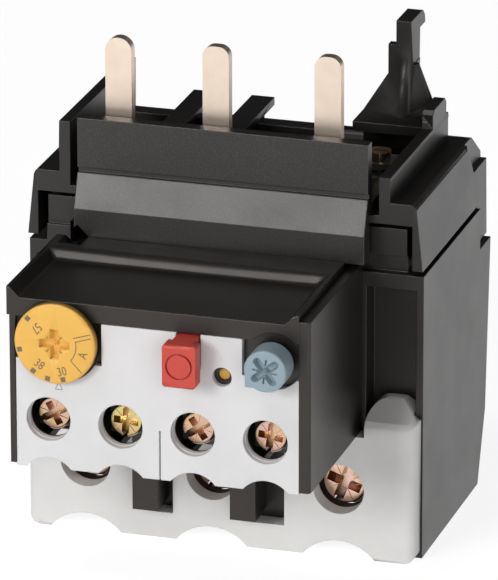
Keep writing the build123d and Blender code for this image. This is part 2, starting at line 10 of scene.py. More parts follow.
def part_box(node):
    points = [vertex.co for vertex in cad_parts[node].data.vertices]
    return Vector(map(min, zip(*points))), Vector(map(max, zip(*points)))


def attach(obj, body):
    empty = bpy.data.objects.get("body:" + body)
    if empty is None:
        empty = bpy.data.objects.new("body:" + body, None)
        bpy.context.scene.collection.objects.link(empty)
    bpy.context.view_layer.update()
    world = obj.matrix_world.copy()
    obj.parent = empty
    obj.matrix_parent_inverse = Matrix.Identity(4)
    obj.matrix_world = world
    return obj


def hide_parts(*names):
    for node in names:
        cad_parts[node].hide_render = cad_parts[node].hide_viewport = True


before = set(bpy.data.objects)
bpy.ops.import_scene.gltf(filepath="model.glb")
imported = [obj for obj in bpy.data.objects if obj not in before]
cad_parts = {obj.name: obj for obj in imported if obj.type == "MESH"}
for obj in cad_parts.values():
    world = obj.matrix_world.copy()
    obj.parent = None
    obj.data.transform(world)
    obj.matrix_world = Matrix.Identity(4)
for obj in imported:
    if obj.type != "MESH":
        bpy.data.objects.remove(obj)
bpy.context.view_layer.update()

bl_info = {
    "name": "Overload Relay Dresser",
    "version": (1, 0, 0),
    "blender": (4, 5, 0),
    "location": "View3D > Sidebar > Relay",
    "description": "Gives a thermal overload relay its finishes, marks, screw heads and studio",
    "category": "Object",
}

MM = 0.001
POLES = (1, 2, 3)
CONTACTS = (1, 2, 3, 4)

# Front face of the terminal cover along Y, in millimetres. Cutters count their depth from it.
COVER_Y = -5.85

# Diamond hole beside the nose, in millimetres: its middle, half diagonal and ends along Y, and the space
# behind it
HOLE_MIDDLE = (-21.5, 46.15)
HOLE_HALF = 1.7
HOLE_DEPTH = (-4.2, 1.0)
HOLLOW = ((-23.0, -19.6), (0.6, 9.0), (44.6, 47.9))

# Radius at which shading softens the corners of a moulding, and how wide the painted highlight on its edges
# is
SOFT_CORNER = 0.22 * MM
EDGE_WIDTH = 0.25 * MM

# How far slow patches lighten and darken a moulding, and how far its polish varies
PATCH_CONTRAST = 0.12
POLISH_SPREAD = 0.06

# Share of its own tone that a fleck or a painted edge highlight keeps, and the light added to it
FLECK_TONE = (0.9, 0.09)
EDGE_HIGHLIGHT_TONE = (0.75, 0.05)

# A warm reflection loses blue this many times as fast as green
BLUE_LOSS = 1.7

# How deep red, green and blue light goes into a sheer moulding
SHEER_DEPTH = (0.6 * MM, 0.4 * MM, 0.25 * MM)

# What a stain leaves of a metal's red, green and blue
METAL_STAIN = (0.8, 0.75, 0.7)

# How far a printed mark reaches below the face that it is on
PRINT_SINK = 0.02 * MM


def numbered(stem, numbers):
    return [f"{stem}_{number}" for number in numbers]


def colour(name, text, default):
    limits = {"size": 3, "min": 0, "max": 1}
    return FloatVectorProperty(name=name, description=text, subtype="COLOR", default=default, **limits)


def length(name, text, millimetres):
    size = millimetres * MM
    return FloatProperty(name=name, description=text, subtype="DISTANCE", unit="LENGTH", default=size)


def angle(name, text, degrees):
    turn = math.radians(degrees)
    return FloatProperty(name=name, description=text, subtype="ANGLE", unit="ROTATION", default=turn)


def power(name, text, watts):
    return FloatProperty(name=name, description=text, unit="POWER", default=watts)


def quantity(name, text, default):
    return FloatProperty(name=name, description=text, default=default)


class RelayFinishSettings(bpy.types.PropertyGroup):
    """Colours and grain of the mouldings and metals."""

    shell: colour("Shell", "Black moulding of the two housings", (0.0068, 0.0058, 0.0052))
    block: colour("Control Block", "Charcoal moulding of the block and hood", (0.007875, 0.006375, 0.0054))
    cover: colour("Terminal Cover", "Light grey moulding of the terminal cover", (0.71, 0.70, 0.685))
    plate: colour("Front Plate", "Pale moulding of the front plate", (0.68, 0.675, 0.68))
    dial: colour("Dial", "Amber moulding of the setting dial", (0.80, 0.45, 0.082))
    stop: colour("Stop Button", "Red moulding of the stop button", (0.56, 0.055, 0.035))
    reset: colour("Reset Knob", "Blue grey moulding of the reset knob", (0.26, 0.345, 0.395))
    mechanism: colour("Mechanism", "Pale moulding of the inner levers", (0.66, 0.64, 0.58))
    blade: colour("Blades", "Tinned copper of the contact blades", (0.80, 0.69, 0.59))
    plating: colour("Plating", "Passivated plating of the terminal screws", (0.60, 0.41, 0.23))
    clamp: colour("Clamps", "Plated steel of the wire clamps", (0.60, 0.59, 0.57))
    ink: colour("Ink", "Printed marks", (0.19, 0.13, 0.07))
    grain: length("Grain", "Depth of the spark eroded grain on the mouldings", 0.02)


class RelayMarkSettings(bpy.types.PropertyGroup):
    """Printed marks on the dial and the front plate."""

    tick_length: length("Tick Length", "Length of a scale tick along the radius", 0.75)
    tick_width: length("Tick Width", "Width of a scale tick", 0.75)
    figure_height: length("Figure Height", "Height of the scale figures", 1.35)
    line_width: length("Line Width", "Width of a printed line on the dial", 0.14)
    print_depth: length("Print Depth", "How far a printed mark stands proud", 0.012)
    pointer_width: length("Pointer Width", "Width of the index triangle", 1.05)


class RelayScrewSettings(bpy.types.PropertyGroup):
    """Heads of the terminal screws."""

    segments: IntProperty(name="Segments", description="Segments round a screw", default=64, min=12)
    edge_radius: length("Edge Radius", "Rounding of a screw head's rim", 0.35)
    slot_width: length("Slot Width", "Width of the straight slot", 0.75)
    slot_depth: length("Slot Depth", "Depth of the straight slot", 1.76)
    recess_depth: length("Recess Depth", "Depth of the cross recess", 1.35)


class RelayStageSettings(bpy.types.PropertyGroup):
    """Camera, lights and floor."""

    azimuth: angle("Azimuth", "Camera azimuth, from the front to the right", 16.875)
    elevation: angle("Elevation", "Camera elevation above the floor", 19.98)
    roll: angle("Roll", "Camera roll", -0.09)
    distance: length("Distance", "Camera distance from the aim", 1058.0)
    lens: quantity("Lens", "Focal length of the camera in millimetres", 455.59)
    key_power: power("Key", "Power of the key light", 4.8)
    fill_power: power("Fill", "Power of the fill light", 2.2)
    top_power: power("Top", "Power of the top light", 2.2)
    back_power: power("Back", "Power of the back light", 0.3)
    bounce: quantity("Bounce", "Light that the floor gives to the relay", 0.42)
    sheen: quantity("Sheen", "Brightness of the floor in reflections", 1.05)
    sky: quantity("Sky", "Strength of the ambient light", 0.05)
    shadow: quantity("Shadow", "Share of the floor's shadow that is seen", 0.3)


def settings():
    return bpy.context.scene.relay


class RelaySettings(bpy.types.PropertyGroup):
    """All sizes and colours of the dressed relay."""

    finish: PointerProperty(type=RelayFinishSettings)
    marks: PointerProperty(type=RelayMarkSettings)
    screws: PointerProperty(type=RelayScrewSettings)
    stage: PointerProperty(type=RelayStageSettings)


# Shader node groups


def new_group(name, inputs, outputs):
    """A shader node group with named float inputs and float outputs, and its two end nodes."""
    group = bpy.data.node_groups.new(name, "ShaderNodeTree")
    for label, default in inputs:
        socket = group.interface.new_socket(label, in_out="INPUT", socket_type="NodeSocketFloat")
        socket.default_value = default
    for label in outputs:
        group.interface.new_socket(label, in_out="OUTPUT", socket_type="NodeSocketFloat")
    entry = group.nodes.new("NodeGroupInput")
    leave = group.nodes.new("NodeGroupOutput")
    return group, entry, leave


def place(tree, kind, values=(), **options):
    """A node with its options set and its sockets filled: a link for a socket, a default for a value."""
    node = tree.nodes.new(kind)
    for key, value in options.items():
        setattr(node, key, value)
    for key, value in dict(values).items():
        socket = node.inputs[key]
        if isinstance(value, bpy.types.NodeSocket):
            tree.links.new(value, socket)
        else:
            socket.default_value = value
    return node


def maths(tree, operation, first, second=0.0, clamp=False):
    node = place(tree, "ShaderNodeMath", {0: first, 1: second}, operation=operation)
    node.use_clamp = clamp
    return node.outputs[0]


def millimetre_space(tree):
    """Object coordinates counted in millimetres."""
    where = place(tree, "ShaderNodeTexCoord")
    scaled = place(tree, "ShaderNodeVectorMath", {0: where.outputs["Object"]}, operation="SCALE")
    scaled.inputs["Scale"].default_value = 1 / MM
    return scaled.outputs[0]


def noise(tree, where, scale, detail=3.0, roughness=0.55):
    values = {"Vector": where, "Scale": scale, "Detail": detail, "Roughness": roughness}
    return place(tree, "ShaderNodeTexNoise", values).outputs["Fac"]


def moulded_grain():
    """Spark eroded grain, slow patches and fine pale flecks."""
    group, entry, leave = new_group(
        "Moulded Grain",
        (("Fineness", 4.0), ("Patch Size", 9.0), ("Fleck Amount", 0.1)),
        ("Height", "Patches", "Flecks"),
    )
    fine_share, coarse_share, fleck_contrast = 0.7, 0.3, 5.0
    where = millimetre_space(group)
    fine = noise(group, where, entry.outputs["Fineness"], 4.0, 0.65)
    coarse = noise(group, where, maths(group, "MULTIPLY", entry.outputs["Fineness"], 0.35), 2.0)
    fine_part = maths(group, "MULTIPLY", fine, fine_share)
    height = maths(group, "ADD", fine_part, maths(group, "MULTIPLY", coarse, coarse_share))
    patches = noise(group, where, maths(group, "DIVIDE", 1.0, entry.outputs["Patch Size"]), 3.0)
    fleck_noise = noise(group, where, maths(group, "MULTIPLY", entry.outputs["Fineness"], 1.6), 1.0, 0.4)
    above_middle = maths(group, "SUBTRACT", fleck_noise, 0.5)
    sharpened = maths(group, "MULTIPLY", above_middle, fleck_contrast, True)
    flecks = maths(group, "MULTIPLY", sharpened, entry.outputs["Fleck Amount"])
    group.links.new(height, leave.inputs["Height"])
    group.links.new(patches, leave.inputs["Patches"])
    group.links.new(flecks, leave.inputs["Flecks"])
    return group


def painted_edge_highlights():
    """Painted highlight: a mask that is bright on outer edges, broken up by noise."""
    group, entry, leave = new_group("Painted Edge Highlights", (("Width", EDGE_WIDTH), ("Amount", 0.6)), ("Mask",))
    where = millimetre_space(group)
    bevel = place(group, "ShaderNodeBevel", {"Radius": entry.outputs["Width"]}, samples=4)
    surface = place(group, "ShaderNodeNewGeometry")
    normals = {0: bevel.outputs[0], 1: surface.outputs["True Normal"]}
    aligned = place(group, "ShaderNodeVectorMath", normals, operation="DOT_PRODUCT")
    turned = maths(group, "SUBTRACT", 1.0, aligned.outputs["Value"])
    sharpness = 6.0
    edge = maths(group, "MULTIPLY", turned, sharpness, True)
    broken = maths(group, "MULTIPLY", edge, noise(group, where, 0.9, 3.0))
    group.links.new(maths(group, "MULTIPLY", broken, entry.outputs["Amount"], True), leave.inputs["Mask"])
    return group


def drawn_metal():
    """Fine draw lines along Z with slow stains."""
    group, entry, leave = new_group(
        "Drawn Metal", (("Line Scale", 9.0), ("Stain Size", 4.0)), ("Height", "Lines", "Stains")
    )
    where = millimetre_space(group)
    squeezed = place(group, "ShaderNodeMapping", {"Vector": where, "Scale": (1.0, 1.0, 0.05)})
    lines = noise(group, squeezed.outputs[0], entry.outputs["Line Scale"], 3.0, 0.7)
    stains = noise(group, where, maths(group, "DIVIDE", 1.0, entry.outputs["Stain Size"]), 4.0)
    group.links.new(lines, leave.inputs["Height"])
    group.links.new(lines, leave.inputs["Lines"])
    group.links.new(stains, leave.inputs["Stains"])
    return group


def passivated_tint():
    """How far the passivation has turned from gold to pink, and its fine stipple."""
    group, entry, leave = new_group(
        "Passivated Tint", (("Tint Size", 2.2), ("Stipple", 7.0)), ("Tint", "Height")
    )
    where = millimetre_space(group)
    slow = noise(group, where, maths(group, "DIVIDE", 1.0, entry.outputs["Tint Size"]), 2.0)
    turns_at, contrast = 0.36, 3.2
    stretched = maths(group, "MULTIPLY", maths(group, "SUBTRACT", slow, turns_at), contrast, True)
    group.links.new(stretched, leave.inputs["Tint"])
    group.links.new(noise(group, where, entry.outputs["Stipple"], 2.0), leave.inputs["Height"])
    return group


GROUP_MAKERS = {
    "Moulded Grain": moulded_grain,
    "Painted Edge Highlights": painted_edge_highlights,
    "Drawn Metal": drawn_metal,
    "Passivated Tint": passivated_tint,
}


def effect(tree, name, **values):
    """A shared effect placed in a material with its own values."""
    group = bpy.data.node_groups.get(name) or GROUP_MAKERS[name]()
    node = tree.nodes.new("ShaderNodeGroup")
    node.node_tree = group
    for key, value in values.items():
        node.inputs[key.replace("_", " ").title()].default_value = value
    return node


def blend(tree, factor, first, second):
    """A colour between two colours. A mix node has its colours at inputs 6 and 7 and output 2."""
    node = place(tree, "ShaderNodeMix", data_type="RGBA")
    for socket, value in ((node.inputs[0], factor), (node.inputs[6], first), (node.inputs[7], second)):
        if isinstance(value, bpy.types.NodeSocket):
            tree.links.new(value, socket)
        elif socket.type == "RGBA":
            socket.default_value = (*value[:3], 1.0)
        else:
            socket.default_value = value
    return node.outputs[2]


def spread(tree, factor, low, high):
    node = place(tree, "ShaderNodeMapRange", {"Value": factor, "To Min": low, "To Max": high})
    return node.outputs[0]


def blank_material(name):
    material = bpy.data.materials.new(name)
    material.use_nodes = True
    tree = material.node_tree
    shader = next(node for node in tree.nodes if node.type == "BSDF_PRINCIPLED")
    return material, tree, shader


def scaled(tone, factor):
    return tuple(min(1.0, part * factor) for part in tone)


def paler(tone, share, light):
    """A share of a tone with light added."""
    return tuple(part * share + light for part in tone)


def bump(tree, shader, height, strength, distance, **more):
    values = {"Height": height, "Strength": strength, "Distance": distance, **more}
    tree.links.new(place(tree, "ShaderNodeBump", values).outputs[0], shader.inputs["Normal"])


def plastic(
    name, tone, roughness, fineness, grain, flecks=0.1, edge_highlight=0.5, gloss=0.5, sheer=0.0, warmth=0.0
):
    """Moulded plastic with eroded grain, uneven polish, soft corners and a painted highlight on its
    edges. Its grain is a share of the depth in the settings."""
    material, tree, shader = blank_material(name)
    grained = effect(tree, "Moulded Grain", fineness=fineness, patch_size=9.0, fleck_amount=flecks)
    edge_lit = effect(tree, "Painted Edge Highlights", width=EDGE_WIDTH, amount=edge_highlight)
    patches = grained.outputs["Patches"]
    patched = blend(tree, patches, scaled(tone, 1 - PATCH_CONTRAST), scaled(tone, 1 + PATCH_CONTRAST))
    flecked = blend(tree, grained.outputs["Flecks"], patched, paler(tone, *FLECK_TONE))
    # Painted highlight: the tone turns paler where the edge mask is bright
    edged = blend(tree, edge_lit.outputs["Mask"], flecked, paler(tone, *EDGE_HIGHLIGHT_TONE))
    tree.links.new(edged, shader.inputs["Base Color"])
    polish = spread(tree, patches, roughness - POLISH_SPREAD, roughness + POLISH_SPREAD)
    tree.links.new(polish, shader.inputs["Roughness"])
    corner = place(tree, "ShaderNodeBevel", {"Radius": SOFT_CORNER}, samples=6).outputs[0]
    depth = settings().finish.grain * grain
    bump(tree, shader, grained.outputs["Height"], 0.6, depth, Normal=corner)
    shader.inputs["Specular IOR Level"].default_value = gloss
    shader.inputs["Specular Tint"].default_value = (1.0, 1.0 - warmth, 1.0 - warmth * BLUE_LOSS, 1.0)
    if sheer:
        shader.inputs["Subsurface Weight"].default_value = sheer
        shader.inputs["Subsurface Radius"].default_value = SHEER_DEPTH
        shader.inputs["Subsurface Scale"].default_value = 1.0
    return material


def metal(name, tone, roughness):
    """Drawn or stamped metal."""
    material, tree, shader = blank_material(name)
    drawn = effect(tree, "Drawn Metal", line_scale=9.0, stain_size=3.5)
    stain = tuple(part * left for part, left in zip(tone, METAL_STAIN))
    tree.links.new(blend(tree, drawn.outputs["Stains"], tone, stain), shader.inputs["Base Color"])
    smoother, rougher = roughness - 0.08, roughness + 0.1
    tree.links.new(spread(tree, drawn.outputs["Lines"], smoother, rougher), shader.inputs["Roughness"])
    bump(tree, shader, drawn.outputs["Height"], 0.35, 0.01 * MM)
    shader.inputs["Metallic"].default_value = 1.0
    return material


def plated(name, tone, other):
    """Passivated steel whose tint runs from one tone to another."""
    material, tree, shader = blank_material(name)
    tint = effect(tree, "Passivated Tint", tint_size=2.2, stipple=7.0)
    tree.links.new(blend(tree, tint.outputs["Tint"], tone, other), shader.inputs["Base Color"])
    tree.links.new(spread(tree, tint.outputs["Height"], 0.14, 0.32), shader.inputs["Roughness"])
    bump(tree, shader, tint.outputs["Height"], 0.3, 0.012 * MM)
    shader.inputs["Metallic"].default_value = 1.0
    return material


def ink(name, tone):
    """Matt printing ink, thin in places. It also makes the near-black painted shade inside the diamond hole.
    """
    material, tree, shader = blank_material(name)
    grained = effect(tree, "Moulded Grain", fineness=6.0, patch_size=1.5, fleck_amount=0.25)
    thinned = blend(tree, grained.outputs["Flecks"], tone, scaled(tone, 2.0))
    tree.links.new(thinned, shader.inputs["Base Color"])
    tree.links.new(spread(tree, grained.outputs["Patches"], 0.5, 0.7), shader.inputs["Roughness"])
    return material


# Meshes


def add_piece(name, mesh_data, body, material, replaces=()):
    """Links a finished mesh as a piece that rides on a body."""
    piece = bpy.data.objects.new(name, mesh_data)
    bpy.context.scene.collection.objects.link(piece)
    mesh_data.materials.clear()
    mesh_data.materials.append(material)
    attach(piece, body)
    if replaces:
        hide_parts(*replaces)
    return piece


def from_bmesh(name, shape):
    mesh = bpy.data.meshes.new(name)
    bmesh.ops.recalc_face_normals(shape, faces=shape.faces[:])
    shape.to_mesh(mesh)
    shape.free()
    return mesh


def lathe(profile, x, z, segments, closed=False):
    """A solid of revolution about a line along Y through x, z. The profile is (radius, y) points, and its
    last point joins its first where it is closed."""
    shape = bmesh.new()
    turns = [2 * math.pi * step / segments for step in range(segments)]
    rings = []
    for radius, y in profile:
        if radius == 0.0:
            rings.append([shape.verts.new((x, y, z))])
            continue
        ring = [(x + radius * math.cos(turn), y, z + radius * math.sin(turn)) for turn in turns]
        rings.append([shape.verts.new(point) for point in ring])
    following = rings[1:] + (rings[:1] if closed else [])
    for near, far in zip(rings, following):
        for step in range(segments):
            after = (step + 1) % segments
            first, second = near[step % len(near)], near[after % len(near)]
            third, fourth = far[after % len(far)], far[step % len(far)]
            distinct = list(dict.fromkeys((first, second, third, fourth)))
            if len(distinct) > 2:
                shape.faces.new(distinct)
    return from_bmesh("lathe", shape)


def between(near_points, far_points):
    """A closed solid between two outlines with as many points."""
    shape = bmesh.new()
    near = [shape.verts.new(point) for point in near_points]
    far = [shape.verts.new(point) for point in far_points]
    shape.faces.new(near)
    shape.faces.new(far[::-1])
    for step in range(len(near)):
        after = (step + 1) % len(near)
        shape.faces.new((near[step], far[step], far[after], near[after]))
    return from_bmesh("solid", shape)


def prism(outline, y_near, y_far, taper=1.0, centre=(0.0, 0.0)):
    """A solid between an outline of (x, z) points at y_near and its copy, scaled by taper, at y_far."""
    (u, v) = centre
    far = [(u + (x - u) * taper, y_far, v + (z - v) * taper) for x, z in outline]
    return between([(x, y_near, z) for x, z in outline], far)


def bar(x, z, direction, inner, outer, width):
    """Corners of a straight bar from inner to outer along a direction from x, z."""
    along = Vector((math.cos(direction), math.sin(direction)))
    across = Vector((-along.y, along.x)) * width / 2
    base = Vector((x, z))
    start, end = along * inner, along * outer
    return [tuple(base + corner) for corner in (start - across, end - across, end + across, start + across)]


def joined(meshes):
    """One mesh of several."""
    shape = bmesh.new()
    for mesh in meshes:
        shape.from_mesh(mesh)
    return from_bmesh("joined", shape)


def merged(mesh, tools, operation):
    """The mesh after a boolean operation with each tool."""
    body = bpy.data.objects.new("body", mesh)
    bpy.context.scene.collection.objects.link(body)
    helpers = []
    for tool_mesh in tools:
        tool = bpy.data.objects.new("tool", tool_mesh)
        bpy.context.scene.collection.objects.link(tool)
        modifier = body.modifiers.new("Merge", "BOOLEAN")
        modifier.operation = operation
        modifier.solver = "EXACT"
        modifier.object = tool
        helpers.append(tool)
    bpy.context.view_layer.update()
    graph = bpy.context.evaluated_depsgraph_get()
    result = bpy.data.meshes.new_from_object(body.evaluated_get(graph))
    for spare in [body, *helpers]:
        bpy.data.objects.remove(spare)
    return result


def carved(mesh, cutters):
    return merged(mesh, cutters, "DIFFERENCE")


def node_mesh(name):
    """A welded copy of a CAD node's mesh, in the frame."""
    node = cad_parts[name]
    shape = bmesh.new()
    shape.from_mesh(node.data)
    shape.transform(node.matrix_world)
    bmesh.ops.remove_doubles(shape, verts=shape.verts[:], dist=0.0005 * MM)
    return from_bmesh(name, shape)


def block_of(outline, start, end, axis="y"):
    """A solid with an outline in millimetres, extruded along an axis. The outline is (x, z) along y, (y, z)
    along x and (x, y) along z, and y counts from the front of the terminal cover."""
    arrange = {
        "y": lambda u, v, t: (u, t + COVER_Y, v),
        "x": lambda u, v, t: (t, u + COVER_Y, v),
        "z": lambda u, v, t: (u, v + COVER_Y, t),
    }[axis]
    return between(*([Vector(arrange(u, v, t)) * MM for u, v in outline] for t in (start, end)))


def box_of(x, y, z):
    """A box between pairs of coordinates in millimetres."""
    return block_of([(x[0], z[0]), (x[1], z[0]), (x[1], z[1]), (x[0], z[1])], *y)


def corner_cut(corner, way, radius, start, end, axis="y", steps=8, margin=1.0):
    """A cutter that rounds a corner of an outline. The way points from the solid out through the corner."""
    (u, v), (du, dv) = corner, way
    inner = (u - du * radius, v - dv * radius)
    outer = (u + du * margin, v + dv * margin)
    turns = [math.pi / 2 * step / steps for step in range(steps + 1)]
    arc = [(inner[0] + du * radius * math.cos(t), inner[1] + dv * radius * math.sin(t)) for t in turns]
    return block_of([*arc, (inner[0], outer[1]), outer, (outer[0], inner[1])], start, end, axis)


def dress(name, mesh, material, node, body="housing", degrees=30.0):
    """Links a mesh made from a CAD node in its place, shaded flat across its wide faces."""
    smooth_by_angle(mesh, degrees)
    piece = add_piece(name, mesh, body, material, (node,))
    weighted = piece.modifiers.new("Weighted Normals", "WEIGHTED_NORMAL")
    weighted.keep_sharp = True
    weighted.weight = 100


def petal(x, z, direction, reach, width, steps=6):
    """Outline of an arm with a round end, from x, z along a direction."""
    base = Vector((x, z))
    along = Vector((math.cos(direction), math.sin(direction)))
    across = Vector((-along.y, along.x))
    half = width / 2
    outline = [base - across * half]
    for step in range(steps + 1):
        turn = math.pi * (step / steps - 0.5)
        end = along * (reach - half + half * math.cos(turn))
        outline.append(base + end + across * half * math.sin(turn))
    outline.append(base + across * half)
    return [tuple(point) for point in outline]


def drive_recess(x, z, front, turn, arm, ray):
    """Cutters of a moulded cross recess: four tapered arms and four shallow rays between them.
    An arm and a ray are (reach, width, depth) in millimetres."""
    ahead = 0.2 * MM
    arm_taper, ray_taper = 0.7, 0.9
    cutters = []
    for sizes, offset, taper in ((arm, 0.0, arm_taper), (ray, math.pi / 4, ray_taper)):
        reach, width, depth = (size * MM for size in sizes)
        for quarter in range(4):
            way = turn + offset + quarter * math.pi / 2
            centre = (x + reach / 2 * math.cos(way), z + reach / 2 * math.sin(way))
            outline = petal(x, z, way, reach, width)
            cutters.append(prism(outline, front - ahead, front + depth, taper, centre))
    return cutters


def smooth_by_angle(mesh, degrees=30.0):
    mesh.shade_smooth()
    mesh.set_sharp_from_angle(angle=math.radians(degrees))


def rounded_edge(radius, front, edge, steps=5):
    """Profile points of a rounded front rim, from the face to the side."""
    turns = [math.pi / 2 * step / steps for step in range(steps + 1)]
    return [(radius - edge + edge * math.sin(turn), front + edge - edge * math.cos(turn)) for turn in turns]


# Nodes of the frame and what they are made of


def paint(names, material):
    """Gives CAD nodes a material in every slot."""
    for name in names:
        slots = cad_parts[name].material_slots
        if not slots:
            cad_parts[name].data.materials.append(material)
        for slot in slots:
            slot.material = material


def middle(node):
    low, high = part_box(node)
    return (low + high) / 2


def hollow():
    """Cutter of the dark space behind the diamond hole."""
    return box_of(*HOLLOW)


def diamond():
    """Cutter of the diamond hole where the nose meets the hood."""
    (x, z) = HOLE_MIDDLE
    half = HOLE_HALF
    return block_of([(x - half, z), (x, z - half), (x + half, z), (x, z + half)], *HOLE_DEPTH)


class RELAY_OT_shell(bpy.types.Operator):
    """Finish the black shell, the upper housing, the blade carrier and the hook"""

    bl_idname = "relay.shell"
    bl_label = "Finish Shell"

    # Cutters in millimetres: a box at the right of the base, the outlines of the notch and the square step
    # of the upper housing, and the outline of what comes off beside the hook
    recess = ((20.0, 27.7), (2.0, 4.2), (43.82, 46.4))
    notch = ((30.1, 55.2), (32.2, 50.0), (41.0, 50.0), (41.0, 55.4))
    square_step = ((25.06, 54.87), (28.2, 54.87), (28.2, 57.9), (25.06, 57.9))
    beside_hook = ((19.7, 74.0), (22.0, 74.0), (22.0, 66.0), (20.1, 66.0))

    def execute(self, context):
        finish = settings().finish
        shell = plastic("Housing Moulding", finish.shell, 0.4, 3.2, grain=1.2, flecks=0.05, warmth=0.05)
        base = carved(node_mesh("base_housing"), [box_of(*self.recess), diamond(), hollow()])
        dress("base_dressed", base, shell, "base_housing", degrees=15)
        shoulder, shoulder_top, shoulder_radius = 28.95, 54.85, 0.7
        cutters = []
        for side in (-1, 1):
            cutters.append(block_of([(side * x, z) for x, z in self.square_step], 1.0, 35.0))
            cutters.append(block_of(self.notch, side * 28.5, side * 31.0, "x"))
            corner = (side * shoulder, shoulder_top)
            cutters.append(corner_cut(corner, (side, 1), shoulder_radius, 1.0, 30.0))
        upper = carved(node_mesh("upper_housing"), [*cutters, diamond(), hollow()])
        dress("upper_dressed", upper, shell, "upper_housing", degrees=15)
        beak_end, beak_radius = (39.4, 72.6), 1.5
        beak_round = corner_cut(beak_end, (1, 1), beak_radius, 17.0, 21.5, "x")
        hook = carved(node_mesh("contactor_hook"), [block_of(self.beside_hook, 25.0, 41.0), beak_round])
        dress("hook_dressed", hook, shell, "contactor_hook")
        tone = scaled(finish.shell, 1.3)
        # The nose's pale flecks are set higher than the shell's: partly the moulding's own flecks, partly
        # painted glints of its grain
        moulding = plastic("Nose Moulding", tone, 0.36, 3.0, grain=1.2, flecks=0.22, gloss=0.55, warmth=0.02)
        nose = carved(node_mesh("blade_carrier"), [diamond(), hollow()])
        dress("nose_dressed", nose, moulding, "blade_carrier")
        return {"FINISHED"}


class RELAY_OT_control_block(bpy.types.Operator):
    """Finish the control block, its hood and its right cheek"""

    bl_idname = "relay.control_block"
    bl_label = "Finish Control Block"

    # Box that fills the square slot in the solid of the hood, in millimetres
    plug = ((-23.05, -20.75), (-5.25, -1.15), (43.8, 46.15))

    def execute(self, context):
        finish = settings().finish
        block = plastic(
            "Block Moulding", finish.block, 0.36, 3.0, grain=1.4, flecks=0.05, gloss=0.55, warmth=0.07
        )
        paint(["side_cover", "latch_foot_1", "latch_foot_2"], block)
        bay = carved(node_mesh("control_block"), [diamond(), hollow()])
        dress("block_dressed", bay, block, "control_block")
        # Painted shade: near-black walls inside the hollow behind the diamond hole, where only shade falls
        painted_shade = ink("Deep Shade", (0.0012, 0.001, 0.001))
        add_piece("hole_painted_shade_walls", self.painted_shade_walls(), "housing", painted_shade)
        hood = carved(merged(node_mesh("hood"), [box_of(*self.plug)], "UNION"), [diamond()])
        dress("hood_dressed", hood, block, "hood")
        return {"FINISHED"}

    def painted_shade_walls(self):
        """Painted shade: near-black walls just inside the dark space, open at the front."""
        inset, mouth = 0.03, 0.65
        sides, (_, back), levels = [(low + inset, high - inset) for low, high in HOLLOW]
        shape = bmesh.new()
        shape.from_mesh(box_of(sides, (mouth, back), levels))
        shape.normal_update()
        front = [face for face in shape.faces if face.normal.y < -0.9]
        bmesh.ops.delete(shape, geom=front, context="FACES")
        return from_bmesh("painted_shade_walls", shape)


class RELAY_OT_covers(bpy.types.Operator):
    """Finish the terminal cover and the front plate"""

    bl_idname = "relay.covers"
    bl_label = "Finish Covers"

    # Outline of what comes off the outer end of a horn, in millimetres
    slant = ((26.6, 23.95), (30.2, 21.4), (30.5, 25.0), (26.6, 25.0))

    def execute(self, context):
        finish = settings().finish
        horn_top, horn_radius = 23.9, 2.4
        cover_side, side_radius = 29.75, 1.4
        cutters = []
        for inner, side in ((21.9, 1), (-24.9, -1)):
            cutters.append(corner_cut((inner, horn_top), (-side, 1), horn_radius, -1.0, 8.0))
            cutters.append(block_of([(side * x, z) for x, z in self.slant], -1.0, 9.0))
            corner = (side * cover_side, 0.0)
            cutters.append(corner_cut(corner, (side, -1), side_radius, -1.0, 25.0, "z"))
        cover = plastic("Cover Moulding", finish.cover, 0.5, 4.5, grain=0.5, flecks=0.05, edge_highlight=0.2)
        mesh = carved(node_mesh("terminal_cover"), cutters)
        dress("cover_dressed", mesh, cover, "terminal_cover")
        plate = plastic("Plate Moulding", finish.plate, 0.48, 4.5, grain=0.4, flecks=0.05, edge_highlight=0.2)
        paint(["front_plate"], plate)
        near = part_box("front_plate")[0].y + 0.95 * MM
        far, inner, outer = near + 0.9 * MM, 3.22 * MM, 3.33 * MM
        profile = [(inner, near), (outer, near), (outer, far), (inner, far)]
        collars = []
        for name in numbered("control_screw", CONTACTS):
            hole = middle(name)
            collars.append(lathe(profile, hole.x, hole.z, 64, True))
        liner = joined(collars)
        smooth_by_angle(liner)
        add_piece("hole_collars", liner, "housing", plate)
        return {"FINISHED"}


